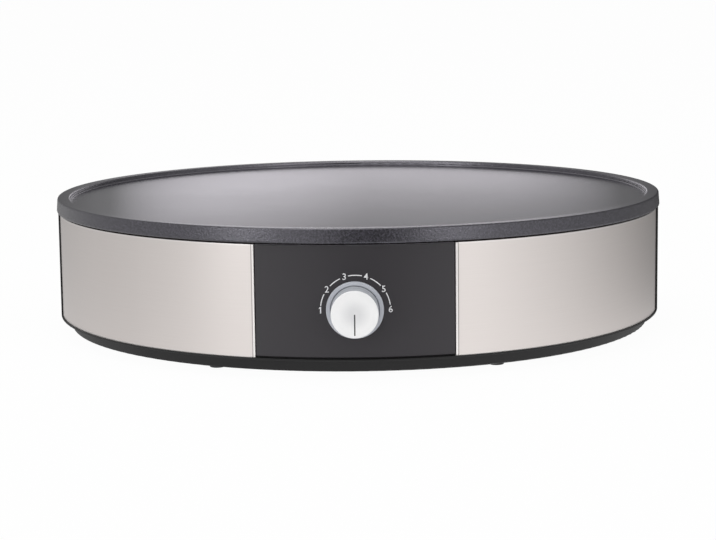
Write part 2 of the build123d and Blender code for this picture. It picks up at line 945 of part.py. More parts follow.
def make_knob_pointer():
    return slab(0, pointer_face(), cap_back, knob_front - pointer_sink)


def make_knob_spring():
    half = spring_width / 2
    low = dial_z + spindle_flat
    leaf = oblong(-half, half, low, low + spring_thickness)
    return slab(0, leaf, knob_back + 0.5, knob_back + 0.5 + spring_length)


def make_pilot_lamp():
    back = bracket_front - lamp_length
    lamp = bar(0, 0, lamp_z, lamp_radius, back, bracket_front)
    return fillet(lamp.faces().sort_by(Axis.Y)[0].edges(), 0.8)


def make_lamp_holder():
    outer = lamp_radius + holder_wall
    holder = bar(0, 0, lamp_z, outer, bracket_front - holder_length - 1, bracket_front)
    holder += bar(0, 0, lamp_z, holder_flange_radius, bracket_back - holder_flange, bracket_back)
    bore = lamp_radius + hole_clearance
    return holder - bar(0, 0, lamp_z, bore, bracket_front - lamp_length, bracket_front)


# ---- Thermostat ----
def make_thermostat_bracket():
    plate = oblong(
        -bracket_half_width, bracket_half_width, dial_z - bracket_below, dial_z + bracket_above
    )
    bracket = slab(0, plate, bracket_back, bracket_front)
    for way in (-1, 1):
        inner, outer = sorted((way * bracket_half_width, way * (bracket_half_width - bracket_sheet)))
        fold = oblong(inner, outer, dial_z - bracket_below, dial_z + bracket_above)
        bracket += slab(0, fold, bracket_back - bracket_flange, bracket_back)
    corners = [
        edge for edge in bracket.edges().filter_by(Axis.Z)
        if abs(edge.center().Y + bracket_front) < 0.01
    ]
    bracket = fillet(corners, bracket_sheet)
    bracket -= bar(0, 0, dial_z, bush_radius + bracket_hole_clearance, bracket_back, bracket_front)
    bracket -= bar(
        0, 0, lamp_z, lamp_radius + holder_wall + hole_clearance, bracket_back, bracket_front
    )
    for way in (-1, 1):
        bracket -= bar(
            0, way * bracket_boss_offset, dial_z, small_screw_radius + passing_clearance,
            bracket_back, bracket_front,
        )
        bracket -= countersunk(way * thermostat_screw_offset, hole_clearance, bracket_sheet)
    return bracket


def countersunk(x, clearance, length):
    """Countersunk screw flush with the bracket's front, pointing inwards, or the hole for it."""
    shank = thermostat_screw_radius + clearance
    head = countersink_radius + clearance
    body = turned((0, -length), (shank, -length), (shank, -countersink_depth), (head, 0), (0, 0))
    return facing(0, bracket_front) * Pos(x, dial_z, 0) * body


def make_bracket_screws():
    return node([
        facing(0, bracket_back) * Pos(way * bracket_boss_offset, dial_z, 0)
        * screw(small_screw_radius, bracket_screw_length, small_head_radius, small_head)
        for way in (-1, 1)
    ])


def make_thermostat_plate():
    half_width, half_height = thermostat_plate_half_width, thermostat_plate_half_height
    face = oblong(-half_width, half_width, dial_z - half_height, dial_z + half_height, 4.0)
    plate = slab(0, face, thermostat_back, bracket_back)
    plate += bar(0, 0, dial_z, bush_radius, thermostat_back, ring_web_back - bush_gap)
    plate -= bar(
        0, 0, dial_z, spindle_radius + spindle_clearance, thermostat_back, ring_web_back
    )
    for way in (-1, 1):
        plate -= bar(
            0, way * thermostat_screw_offset, dial_z, thermostat_screw_radius + hole_clearance,
            thermostat_back, bracket_back,
        )
    return plate


def make_thermostat_screws():
    return node([
        countersunk(way * thermostat_screw_offset, 0, thermostat_screw_length) for way in (-1, 1)
    ])


def make_thermostat_cup():
    cup = dial_turned(
        (0, cup_back),
        (cup_radius - 1.5, cup_back),
        (cup_radius - 1.5, cup_back + 2.0),
        (cup_radius, cup_back + 2.0),
        (cup_radius, thermostat_back),
        (0, thermostat_back),
    )
    nipple = Plane((1 - cup_radius, -capillary_distance(), dial_z), z_dir=(-1, 0, 0))
    cup += extrude(nipple * Circle(nipple_radius), nipple_length + 1)
    room = spindle_collar + 2 * collar_clearance
    cup -= bar(
        0, 0, dial_z, spindle_collar_radius + tail_clearance, thermostat_back - room, thermostat_back
    )
    return cup - bar(
        0, 0, dial_z, spindle_tail_radius + tail_clearance,
        thermostat_back - room - spindle_tail - tail_clearance, thermostat_back,
    )


def make_thermostat_head():
    half = head_width / 2
    head = slab(
        0, oblong(-half, half, dial_z - head_height / 2, dial_z + head_height / 2, 2.0),
        head_back, cup_back,
    )
    return fillet(head.faces().sort_by(Axis.Y)[-1].edges(), 1.0)


def make_thermostat_blades():
    half = blade_thickness / 2
    face = oblong(-half, half, blade_z - blade_width / 2, blade_z + blade_width / 2)
    return node([
        slab(0, Pos(way * blade_offset, 0) * face, blade_end, head_back) for way in (-1, 1)
    ])


def make_thermostat_spindle():
    collar_front = thermostat_back - collar_clearance
    collar_back = collar_front - spindle_collar
    spindle = dial_turned(
        (0, collar_back - spindle_tail),
        (spindle_tail_radius, collar_back - spindle_tail),
        (spindle_tail_radius, collar_back),
        (spindle_collar_radius, collar_back),
        (spindle_collar_radius, collar_front),
        (spindle_radius, collar_front),
        (spindle_radius, knob_back),
        (0, knob_back),
    )
    return spindle + slab(0, d_section(spindle_radius, spindle_flat), knob_back, knob_back + spindle_reach)


# ---- Sensor bulb, capillary and thermal fuse ----
def capillary_distance():
    return cup_back + cup_length / 2


def capillary_points():
    """From the cup's nipple round to the bulb's end, last the rise through the reflector."""
    start_x = -cup_radius - nipple_length
    y = -capillary_distance()
    bulb_z = cradle_z + bulb_radius
    rise_x = -bulb_length / 2 - capillary_end_run
    run_z = reflector_z - capillary_drop
    return [
        (start_x, y, dial_z),
        (start_x - capillary_exit_run, y, dial_z),
        (rise_x, bulb_place - capillary_rise_run, run_z),
        (rise_x, bulb_place, run_z),
        (rise_x, bulb_place, bulb_z),
        (-bulb_length / 2, bulb_place, bulb_z),
    ]


def make_sensor_bulb():
    face = Plane((-bulb_length / 2, bulb_place, cradle_z + bulb_radius), z_dir=(1, 0, 0))
    bulb = extrude(face * Circle(bulb_radius), bulb_length)
    return chamfer(bulb.edges().filter_by(GeomType.CIRCLE), 1.2)


def make_clip(place, width):
    half = width / 2
    strip = block(
        -half, half, place - cradle_half_width, place + cradle_half_width, clip_z, cradle_z, 1.5
    )
    for way in (-1, 1):
        strip -= rod(
            0, place + way * clip_screw_offset, small_screw_radius + passing_clearance,
            clip_z, cradle_z,
        )
    return strip


def make_clip_screws(place):
    return node([
        Pos(0, place + way * clip_screw_offset, clip_z)
        * screw(small_screw_radius, clip_sheet + small_bite, small_head_radius, small_head)
        for way in (-1, 1)
    ])


def make_thermal_fuse():
    z = cradle_z + fuse_radius
    fuse = extrude(
        Plane((-fuse_half_length, fuse_place, z), z_dir=(1, 0, 0)) * Circle(fuse_radius),
        2 * fuse_half_length,
    )
    for way in (-1, 1):
        points = [
            (way * (fuse_half_length - 1), fuse_place, z),
            (way * lead_reach, fuse_place, z),
            (way * lead_reach, fuse_place, lead_z),
        ]
        fuse += tube(points, lead_radius)
    return fuse


# ---- Wiring ----
def receptacle(way):
    """Push-on receptacle over one of the thermostat's blades."""
    half_x = blade_thickness / 2 + receptacle_wall
    half_z = blade_width / 2 + receptacle_wall
    x = way * blade_offset
    sleeve = oblong(x - half_x, x + half_x, blade_z - half_z, blade_z + half_z, 0.4)
    blade = oblong(
        x - blade_thickness / 2, x + blade_thickness / 2,
        blade_z - blade_width / 2, blade_z + blade_width / 2,
    )
    grip = blade_end + receptacle_grip
    return slab(0, sleeve, blade_end - receptacle_back, grip) - slab(0, blade, blade_end, grip)


def crimp(x, y, top):
    """Crimp sleeve round the upper end of a wire, below a pin or lead that ends at top."""
    return rod(x, y, crimp_radius, top - crimp_length, top)


def wire_start(way):
    """First two points of a wire: inside the back of a receptacle, and straight out of it."""
    x, y = way * blade_offset, -blade_end + receptacle_back - receptacle_bite
    return [(x, y, blade_z), (x, y + wire_exit_run, blade_z)]


def pole_end(index):
    """Last three points of a wire: up from the base and into a pole; index is -1, 0 or 1."""
    x = block_centre_x + index * pole_pitch
    entry_y = block_centre_y - block_depth / 2 - wire_pole_run
    return [
        (x, entry_y - wire_rise_run, wire_z),
        (x, entry_y, bore_z),
        (x, block_centre_y - wire_end_gap, bore_z),
    ]


def make_wire_live():
    exit_x, exit_y, _ = wire_start(1)[-1]
    landing = (exit_x, exit_y + wire_fall_run, wire_z)
    return receptacle(1) + tube([*wire_start(1), landing, *pole_end(-1)], wire_radius)


def make_wire_switched():
    points = [
        *wire_start(-1),
        (-lead_reach, fuse_place, lead_z - switched_drop),
        (-lead_reach, fuse_place, lead_z - crimp_bite),
    ]
    return receptacle(-1) + tube(points, wire_radius) + crimp(-lead_reach, fuse_place, lead_z)


def make_wire_heater():
    leg = leg_places()[1]
    pin_z = leg_z - pin_length
    points = [
        (lead_reach, fuse_place, lead_z - crimp_bite),
        (lead_reach, fuse_place, pin_z - heater_drop),
        (leg.X, leg.Y, pin_z - heater_drop),
        (leg.X, leg.Y, pin_z - crimp_bite),
    ]
    wire = tube(points, wire_radius)
    return wire + crimp(lead_reach, fuse_place, lead_z) + crimp(leg.X, leg.Y, pin_z)


def make_wire_neutral():
    leg = leg_places()[0]
    pin_z = leg_z - pin_length
    points = [(leg.X, leg.Y, pin_z - crimp_bite), (leg.X, leg.Y, wire_z), *pole_end(0)]
    return tube(points, wire_radius) + crimp(leg.X, leg.Y, pin_z)


def make_wire_earth():
    _, entry, end = pole_end(1)
    tag_z = reflector_z - earth_tag_sheet
    run_z = reflector_z - wire_radius - 0.1
    tail_y = earth_boss_y + earth_tag_radius
    points = [
        end,
        entry,
        (earth_boss_x, tail_y + earth_run, run_z),
        (earth_boss_x, tail_y, run_z),
    ]
    tag = rod(earth_boss_x, earth_boss_y, earth_tag_radius, tag_z, reflector_z)
    tag -= rod(earth_boss_x, earth_boss_y, screw_radius + passing_clearance, tag_z, reflector_z)
    tail = Pos(earth_boss_x, tail_y + earth_tail / 2 - crimp_bite, tag_z + earth_tag_sheet / 2)
    tag += tail * Box(2 * wire_radius, earth_tail, earth_tag_sheet)
    return tag + tube(points, wire_radius)


def make_earth_screw():
    place = Pos(earth_boss_x, earth_boss_y, reflector_z - earth_tag_sheet)
    length = earth_tag_sheet + reflector_sheet + small_bite
    return place * screw(screw_radius, length, screw_head_radius, screw_head)


def pole_spots():
    return [block_centre_x + index * pole_pitch for index in (-1, 0, 1)]


def make_terminal_block():
    x, y = block_centre_x, block_centre_y
    body = block(
        x - block_width / 2, x + block_width / 2, y - block_depth / 2, y + block_depth / 2,
        block_z, block_top_z, 2.0,
    )
    for pole_x in pole_spots():
        body -= Pos(pole_x, y, bore_z) * Box(sleeve_size, 2 * block_depth, sleeve_size)
        for way in (-1, 1):
            body -= rod(pole_x, y + way * terminal_screw_offset, well_radius, bore_z, block_top_z)
    return body - rod(
        x + pole_pitch / 2, y, small_screw_radius + passing_clearance, block_z, block_top_z
    )


def make_terminal_sleeves():
    length = block_depth - 2 * sleeve_inset
    sleeve = Box(sleeve_size, length, sleeve_size)
    sleeve -= Rot(90, 0, 0) * Cylinder(sleeve_bore, 2 * length)
    for way in (-1, 1):
        hole = terminal_screw_radius + hole_clearance
        sleeve -= rod(0, way * terminal_screw_offset, hole, 0, sleeve_size)
    return node([Pos(x, block_centre_y, bore_z) * sleeve for x in pole_spots()])


def make_terminal_screws():
    low = bore_z + wire_radius
    head_z = bore_z + sleeve_size / 2 + 1.0
    top = head_z + 3.0
    screws = []
    for x in pole_spots():
        for way in (-1, 1):
            y = block_centre_y + way * terminal_screw_offset
            body = rod(x, y, terminal_screw_radius, low, top)
            screws.append(body + rod(x, y, terminal_screw_head_radius, head_z, top))
    return node(screws)


def make_block_screw():
    place = Pos(block_centre_x + pole_pitch / 2, block_centre_y, block_top_z) * Rot(180, 0, 0)
    length = block_height + block_screw_bite
    return place * screw(small_screw_radius, length, terminal_screw_head_radius, small_head)


# ---- Cord gland ----
def make_cord_gland():
    seat = housing_radius - gland_seat_depth
    tail = seat - gland_pad_depth - nut_thickness - gland_tail
    nose = seat + gland_flange + gland_nose
    body = turned(
        (gland_bore, tail),
        (gland_shank_radius, tail),
        (gland_shank_radius, seat),
        (gland_flange_radius, seat),
        (gland_flange_radius, seat + gland_flange, 0.8),
        (gland_nose_radius + 1.4, seat + gland_flange),
        (gland_nose_radius, nose, 0.8),
        (gland_bore, nose, 0.5),
    )
    return Plane((0, 0, gland_z), (-1, 0, 0), (0, 1, 0)) * body


def make_gland_nut():
    seat = housing_radius - gland_seat_depth - gland_pad_depth
    hexagon = RegularPolygon(nut_across_flats / 2, 6, major_radius=False)
    face = Pos(0, gland_z) * (hexagon - Circle(gland_shank_radius + hole_clearance))
    return slab(180, face, seat - nut_thickness, seat)


# ---- Base and feet ----
def make_base():
    inner = upstand_radius - upstand_wall
    base = turned(
        (0, foot_height),
        (base_bottom_radius, foot_height, base_edge_radius),
        (base_top_radius, housing_z),
        (upstand_radius, housing_z),
        (upstand_radius, housing_z + upstand_height),
        (inner, housing_z + upstand_height),
        (inner, floor_z),
        (0, floor_z),
    )
    rib_top = floor_z + base_rib_height
    for radius in (base_hub_radius, base_ring_radius):
        base += turned(
            (radius - base_rib_thickness / 2, floor_z - 1),
            (radius + base_rib_thickness / 2, floor_z - 1),
            (radius + base_rib_thickness / 2, rib_top),
            (radius - base_rib_thickness / 2, rib_top),
        )
    rib = Pos(0, -(base_hub_radius + inner) / 2, floor_z + base_rib_height / 2 - 0.5) * Box(
        base_rib_thickness, inner - base_hub_radius + 1, base_rib_height + 1
    )
    for i in range(base_rib_count):
        base += Rot(0, 0, 360.0 / base_rib_count * i) * rib
    margin = 1.0
    base += block(
        block_centre_x - block_width / 2 - margin, block_centre_x + block_width / 2 + margin,
        block_centre_y - block_depth / 2 - margin, block_centre_y + block_depth / 2 + margin,
        floor_z - 1, block_z, 3.0,
    )
    for angle in column_angles:
        x, y, _ = spot(angle, column_place_radius)
        base += rod(x, y, pillar_radius, floor_z - 1, housing_z)
    for angle in foot_angles.values():
        x, y, _ = spot(angle, foot_place_radius)
        base += rod(x, y, foot_collar_radius, foot_height - foot_collar, floor_z)
    return base - base_cuts()


def base_cuts():
    """Everything taken out of the base: vents, screw recesses and holes."""
    outer = base_ring_radius - vent_margin
    slot = SlotOverall(vent_length, vent_width)
    vent = extrude(Plane((0, 0, 0)) * Pos(0, vent_length / 2 - outer) * Rot(0, 0, 90) * slot, floor_z + 1)
    cuts = [Rot(0, 0, 360.0 / vent_count * (i + 0.5)) * vent for i in range(vent_count)]
    for angle in column_angles:
        x, y, _ = spot(angle, column_place_radius)
        cuts.append(rod(x, y, base_screw_recess_radius, 0, foot_height + base_screw_recess))
        cuts.append(rod(x, y, screw_radius + passing_clearance, foot_height, housing_z))
    for angle in foot_angles.values():
        x, y, _ = spot(angle, foot_place_radius)
        cuts.append(rod(x, y, foot_stem_radius + foot_stem_clearance, 0, floor_z))
    cuts.append(rod(
        block_centre_x + pole_pitch / 2, block_centre_y, small_screw_radius + hole_clearance,
        block_z - block_screw_bite - 0.3, block_z,
    ))
    return cuts


def make_base_screws():
    bearing = foot_height + base_screw_recess
    length = housing_z - bearing + base_screw_bite
    return node([
        Pos(*spot(angle, column_place_radius, bearing))
        * screw(screw_radius, length, screw_head_radius, screw_head)
        for angle in column_angles
    ])


def make_foot(angle):
    collar_z = foot_height - foot_collar
    foot = turned(
        (0, 0),
        (foot_radius, 0, 0.6),
        (foot_radius, collar_z),
        (foot_stem_radius, collar_z),
        (foot_stem_radius, floor_z),
        (foot_head_radius, floor_z),
        (foot_stem_radius, floor_z + foot_head),
        (0, floor_z + foot_head),
    )
    return Pos(*spot(angle, foot_place_radius)) * foot


# ---- Nodes ----
nodes = {
    "baking_plate": make_baking_plate(),
    "heating_element": make_heating_element(),
    "element_seals": make_element_seals(),
    "element_straps": make_element_straps(),
    "strap_screws": make_strap_screws(),
    "plate_insulators": make_plate_insulators(),
    "plate_screws": make_plate_screws(),
    "heat_reflector": make_heat_reflector(),
    "housing": make_housing(),
    "side_panel_left": make_side_panel(-1),
    "side_panel_right": make_side_panel(1),
    "control_panel": make_control_panel(),
    "panel_screws": make_panel_screws(),
    "light_ring": make_light_ring(),
    "knob_body": make_knob_body(),
    "knob_cap": make_knob_cap(),
    "knob_pointer": make_knob_pointer(),
    "knob_spring": make_knob_spring(),
    "pilot_lamp": make_pilot_lamp(),
    "lamp_holder": make_lamp_holder(),
    "thermostat_bracket": make_thermostat_bracket(),
    "bracket_screws": make_bracket_screws(),
    "thermostat_plate": make_thermostat_plate(),
    "thermostat_screws": make_thermostat_screws(),
    "thermostat_cup": make_thermostat_cup(),
    "thermostat_head": make_thermostat_head(),
    "thermostat_blades": make_thermostat_blades(),
    "thermostat_spindle": make_thermostat_spindle(),
    "capillary_tube": tube(capillary_points(), capillary_radius),
    "sensor_bulb": make_sensor_bulb(),
    "bulb_clip": make_clip(bulb_place, bulb_clip_width),
    "bulb_clip_screws": make_clip_screws(bulb_place),
    "thermal_fuse": make_thermal_fuse(),
    "fuse_clip": make_clip(fuse_place, fuse_clip_width),
    "fuse_clip_screws": make_clip_screws(fuse_place),
    "terminal_block": make_terminal_block(),
    "terminal_sleeves": make_terminal_sleeves(),
    "terminal_screws": make_terminal_screws(),
    "block_screw": make_block_screw(),
    "wire_live": make_wire_live(),
    "wire_switched": make_wire_switched(),
    "wire_heater": make_wire_heater(),
    "wire_neutral": make_wire_neutral(),
    "wire_earth": make_wire_earth(),
    "earth_screw": make_earth_screw(),
    "cord_gland": make_cord_gland(),
    "gland_nut": make_gland_nut(),
    "base": make_base(),
    "base_screws": make_base_screws(),
}
for place, angle in foot_angles.items():
    nodes["foot_" + place] = make_foot(angle)

os.makedirs("parts", exist_ok=True)
for name, piece in nodes.items():
    export_step(piece, "parts/" + name + ".step")
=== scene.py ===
import math

import bmesh
import bpy
from mathutils import Matrix, Vector


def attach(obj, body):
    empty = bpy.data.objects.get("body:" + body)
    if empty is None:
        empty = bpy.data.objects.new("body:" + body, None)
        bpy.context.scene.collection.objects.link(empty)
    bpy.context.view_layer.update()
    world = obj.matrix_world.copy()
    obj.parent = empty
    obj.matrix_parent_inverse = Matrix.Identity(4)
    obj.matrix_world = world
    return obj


# An electric crepe maker on a plain pale floor. Metres, +Z up, the control panel faces -Y.
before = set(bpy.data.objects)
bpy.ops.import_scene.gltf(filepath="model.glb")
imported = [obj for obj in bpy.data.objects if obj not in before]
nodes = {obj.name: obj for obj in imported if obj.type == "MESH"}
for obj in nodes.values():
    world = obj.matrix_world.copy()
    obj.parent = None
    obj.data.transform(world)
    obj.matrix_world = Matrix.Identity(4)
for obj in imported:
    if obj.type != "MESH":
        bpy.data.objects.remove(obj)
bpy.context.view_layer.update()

# ---- Camera ----
# A long lens a little above the cooking plate's rim, almost square to the control panel. The camera
# stands a touch to the right of the dial and leans by less than a degree.
image_width = 716
focal_pixels = 2108.1
sensor_width = 36.0
camera_distance = 1.2631
camera_height = 0.2232
camera_orbit = math.radians(0.75)
camera_pitch = math.radians(8.65)
camera_lean = math.radians(-0.70)
camera_shift = -0.0013
nearest_seen = 0.05
farthest_seen = 50.0

camera_data = bpy.data.cameras.new("camera")
camera_data.sensor_width = sensor_width
camera_data.lens = focal_pixels / image_width * sensor_width
camera_data.shift_x = camera_shift
camera_data.clip_start = nearest_seen
camera_data.clip_end = farthest_seen
camera = bpy.data.objects.new("camera", camera_data)
camera.matrix_world = (
    Matrix.Rotation(camera_orbit, 4, "Z")
    @ Matrix.Translation((0.0, -camera_distance, camera_height))
    @ Matrix.Rotation(math.pi / 2 - camera_pitch, 4, "X")
    @ Matrix.Rotation(camera_lean, 4, "Z")
)
bpy.context.scene.collection.objects.link(camera)
bpy.context.scene.camera = camera
bpy.context.scene.view_settings.view_transform = "Standard"

# ---- Floor and room ----
# A wide flat floor of white card in a white room. The room is brightest either side of the camera,
# where a dark card stands, and fades towards the back. To the camera, floor and room are white.
floor_half = 40.0
card_white = (1.0, 1.0, 1.0)
card_matte = (0.80, 0.80, 0.80)
floor_shadow_share = 0.03
least_reach = 0.001

room_level = 0.665
room_lean = -0.05
room_swing = 0.40
room_twist = 0.23
dark_card_place = 0.09
dark_card_half = 0.30
dark_card_share = 0.96
dark_card_start = 0.27
dark_card_edge = 0.05


class Value:
    """A number that a shader works out. Sums on it add their Math nodes."""

    def __init__(self, finish, socket):
        self.finish = finish
        self.socket = socket

    def maths(self, operation, *others):
        numbers = dict(enumerate((self, *others)))
        node = self.finish.node("Math", {"operation": operation}, numbers)
        return Value(self.finish, node.outputs[0])

    def clamped(self):
        node = self.finish.node("Clamp", {}, {"Value": self})
        return Value(self.finish, node.outputs[0])

    def __add__(self, other):
        return self.maths("ADD", other)

    def __radd__(self, other):
        return self.maths("ADD", other)

    def __sub__(self, other):
        return self.maths("SUBTRACT", other)

    def __rsub__(self, other):
        return (self * -1.0).maths("ADD", other)

    def __mul__(self, other):
        return self.maths("MULTIPLY", other)

    def __rmul__(self, other):
        return self.maths("MULTIPLY", other)

    def __truediv__(self, other):
        return self.maths("DIVIDE", other)

    def __pow__(self, other):
        return self.maths("POWER", other)

    def __abs__(self):
        return self.maths("ABSOLUTE")

    def __gt__(self, other):
        return self.maths("GREATER_THAN", other)

    def __lt__(self, other):
        return self.maths("LESS_THAN", other)


class Finish:
    """A material or world: its node tree, and the calls that add nodes to it."""

    def __init__(self, block):
        block.use_nodes = True
        self.block = block
        self.tree = block.node_tree

    def node(self, kind, settings, sockets):
        node = self.tree.nodes.new("ShaderNode" + kind)
        for name, value in settings.items():
            setattr(node, name, value)
        for name, value in sockets.items():
            self.feed(node.inputs[name], value)
        return node

    def feed(self, socket, value):
        if isinstance(value, Value):
            value = value.socket
        if isinstance(value, bpy.types.NodeSocket):
            self.tree.links.new(value, socket)
        elif socket.type == "RGBA":
            socket.default_value = (*value, 1.0)
        else:
            socket.default_value = value

    def place(self):
        """Object coordinates."""
        return self.node("TexCoord", {}, {}).outputs["Object"]

    def axes(self, vector):
        """The x, y and z of a vector."""
        node = self.node("SeparateXYZ", {}, {0: vector})
        return [Value(self, out) for out in node.outputs]

    def blend(self, factor, first, second):
        """From the first colour to the second as the factor goes from 0 to 1."""
        node = self.node("Mix", {"data_type": "RGBA"}, {0: factor, 6: first, 7: second})
        return node.outputs[2]


def room(across, along, share):
    """Brightness of the room in a level direction, with the dark card dimming it by a share."""
    dark = (1.0 - ((across - dark_card_place) / dark_card_half) ** 2.0).clamped() * (along < 0.0)
    level = room_level + across * room_lean - along * (room_swing + across * room_twist)
    return level * (1.0 - dark * share)


def white_to_camera(finish, level):
    """A brightness that is plain white to the camera and as given to every other ray."""
    camera_ray = Value(finish, finish.node("LightPath", {}, {}).outputs["Is Camera Ray"])
    return level * (1.0 - camera_ray) + camera_ray


floor_mesh = bpy.data.meshes.new("floor")
board = bmesh.new()
bmesh.ops.create_grid(board, x_segments=1, y_segments=1, size=floor_half)
board.to_mesh(floor_mesh)
board.free()
floor = bpy.data.objects.new("floor", floor_mesh)
bpy.context.scene.collection.objects.link(floor)

card = Finish(bpy.data.materials.new("floor_card"))
card.tree.nodes.clear()
x, y, _ = card.axes(card.place())
reach = (x * x + y * y) ** 0.5 + least_reach
far = ((reach - dark_card_start) / dark_card_edge).clamped()
level = room(x / reach, y / reach, far * dark_card_share)
rays = card.node("LightPath", {}, {}).outputs
seen = Value(card, rays["Is Camera Ray"]).maths("MAXIMUM", rays["Is Glossy Ray"])
seen = seen.maths("MAXIMUM", rays["Is Transmission Ray"])
matte = card.node("BsdfDiffuse", {}, {"Color": card_matte})
white = card.node("Emission", {}, {"Color": card_white, "Strength": white_to_camera(card, level)})
shown = card.node("MixShader", {}, {
    0: seen * (1.0 - floor_shadow_share), 1: matte.outputs[0], 2: white.outputs[0],
})
card.node("OutputMaterial", {}, {"Surface": shown.outputs[0]})
floor_mesh.materials.append(card.block)

world = bpy.data.worlds.new("studio")
bpy.context.scene.world = world
studio = Finish(world)
studio.tree.nodes.clear()
across, along, _ = studio.axes(studio.node("TexCoord", {}, {}).outputs["Generated"])
level = white_to_camera(studio, room(across, along, dark_card_share))
sky = studio.node("Background", {}, {"Color": card_white, "Strength": level})
studio.node("OutputWorld", {}, {"Surface": sky.outputs[0]})

# ---- Sheen card ----
# A low card behind the crepe maker, which shows only in reflections and gives the plate its sheen.
# It is lit up to a line that rises on the left, and more brightly on the right near its foot. A
# grey flag stands on each side of it.
sheen_place = 0.50
sheen_half = 0.215
sheen_shoulder = 4.0
sheen_height = 0.46
sheen_top = 0.164
sheen_slope = 0.25
sheen_fade = 0.068
sheen_level = 1.33
sheen_lean = 1.5
lean_top = 0.135
lean_fade = 0.014
sheen_tint = (0.975, 0.935, 1.0)

flag_half = 0.60
flag_near = 0.225
flag_edge = 0.03
flag_far = 0.32
flag_fade = 0.24
flag_share = 0.48
flag_lean = 0.5
clear = (1.0, 1.0, 1.0)
opaque = (0.0, 0.0, 0.0)

sheen_mesh = bpy.data.meshes.new("sheen_card")
sheet = bmesh.new()
bmesh.ops.create_grid(sheet, x_segments=1, y_segments=1, size=1.0)
bmesh.ops.scale(sheet, verts=sheet.verts, vec=(flag_half, sheen_height / 2, 1.0))
bmesh.ops.rotate(sheet, verts=sheet.verts, matrix=Matrix.Rotation(math.pi / 2, 3, "X"))
bmesh.ops.translate(sheet, verts=sheet.verts, vec=(0.0, sheen_place, sheen_height / 2))
sheet.to_mesh(sheen_mesh)
sheet.free()
sheen_card = bpy.data.objects.new("sheen_card", sheen_mesh)
sheen_card.visible_camera = False
sheen_card.visible_diffuse = False
sheen_card.visible_shadow = False
sheen_card.visible_transmission = False
bpy.context.scene.collection.objects.link(sheen_card)

lit = Finish(bpy.data.materials.new("sheen_light"))
lit.tree.nodes.clear()
x, _, z = lit.axes(lit.place())
breadth = (1.0 - abs(x / sheen_half) ** sheen_shoulder).clamped()
height = ((sheen_top + (x * -sheen_slope).maths("MAXIMUM", 0.0) - z) / sheen_fade).clamped()
leaning = x * ((lean_top - z) / lean_fade).clamped() * sheen_lean + 1.0
inner_edge = ((abs(x) - flag_near) / flag_edge).clamped()
outer_fade = 1.0 - ((abs(x) - flag_far) / flag_fade).clamped()
flag = inner_edge * outer_fade * (x * flag_lean + flag_share)
glow = lit.node("Emission", {}, {
    "Color": sheen_tint, "Strength": breadth * height * leaning * sheen_level,
})
pane = lit.node("BsdfTransparent", {}, {"Color": lit.blend(flag, clear, opaque)})
both = lit.node("AddShader", {}, {0: glow.outputs[0], 1: pane.outputs[0]})
lit.node("OutputMaterial", {}, {"Surface": both.outputs[0]})
sheen_mesh.materials.append(lit.block)


# ---- Lamps ----
# Three soft square lamps that the camera doesn't see: a large one high above, and a small one low
# in front on each side, of which the left one is the stronger.
def lamp(name, place, aim_height, size, power):
    """A soft lamp that points at the crepe maker's axis."""
    data = bpy.data.lights.new(name, "AREA")
    data.shape = "SQUARE"
    data.size = size
    data.energy = power
    box = bpy.data.objects.new(name, data)
    heading = Vector((0.0, 0.0, aim_height)) - Vector(place)
    turned = heading.to_track_quat("-Z", "Y").to_matrix().to_4x4()
    box.matrix_world = Matrix.Translation(place) @ turned
    box.visible_camera = False
    bpy.context.scene.collection.objects.link(box)


lamp("lamp_above", (-0.3, -0.3, 2.2), aim_height=0.05, size=1.8, power=22.0)
lamp("lamp_left", (-1.57, -1.81, 0.50), aim_height=0.04, size=0.6, power=5.6)
lamp("lamp_right", (1.34, -1.99, 0.50), aim_height=0.04, size=0.6, power=3.0)

# ---- Base and housing ----
# The base and the drum's wall are moulded in black plastic with a fine spark-eroded texture, and
# screws hold them together from below. The cord gland and its nut are of the same plastic.
moulding_colour = (0.011, 0.0107, 0.0112)
moulding_highlight = 0.3
moulding_roughness = 0.46
moulding_patches = 0.10
erosion_roughness = 0.06
erosion_depth = 0.00005


class Surface(Finish):
    """A Principled material for pieces of the crepe maker."""

    def __init__(self, name):
        super().__init__(bpy.data.materials.new(name))
        self.shader = self.tree.nodes["Principled BSDF"]

    def noise(self, vector, scale, detail=2.0, roughness=0.5):
        """Cloudy noise round 0.5."""
        sockets = {"Vector": vector, "Scale": scale, "Detail": detail, "Roughness": roughness}
        return Value(self, self.node("TexNoise", {}, sockets).outputs[0])

    def bump(self, height, depth):
        """Normal of a surface whose height value runs over a depth in metres."""
        node = self.node("Bump", {}, {"Strength": 1.0, "Distance": depth, "Height": height})
        return node.outputs[0]

    def shade(self, **sockets):
        """Feeds sockets of the Principled shader, named with underscores for spaces."""
        for name, value in sockets.items():
            self.feed(self.shader.inputs[name.replace("_", " ")], value)

    def dress(self, *names):
        """Gives CAD nodes this finish."""
        for name in names:
            for slot in nodes[name].material_slots:
                slot.material = self.block


moulding = Surface("moulded_plastic")
spot = moulding.place()
erosion = moulding.noise(spot, scale=1900.0, roughness=0.6)
patches = moulding.noise(spot, scale=30.0)
moulding.shade(
    Base_Color=moulding_colour,
    Specular_IOR_Level=moulding_highlight,
    Roughness=moulding_roughness + patches * moulding_patches + erosion * erosion_roughness,
    Normal=moulding.bump(erosion, erosion_depth),
)
moulding.dress("housing", "base", "cord_gland", "gland_nut")

# ---- Feet ----
# Four small round feet of black rubber with a faint bloom on their skin. Each is one moulding,
# pushed up through a hole in the base, where its head holds it.
rubber_dark = (0.013, 0.013, 0.014)
rubber_light = (0.028, 0.027, 0.027)
rubber_roughness = 0.58
bloom_roughness = 0.16
bloom_depth = 0.00004

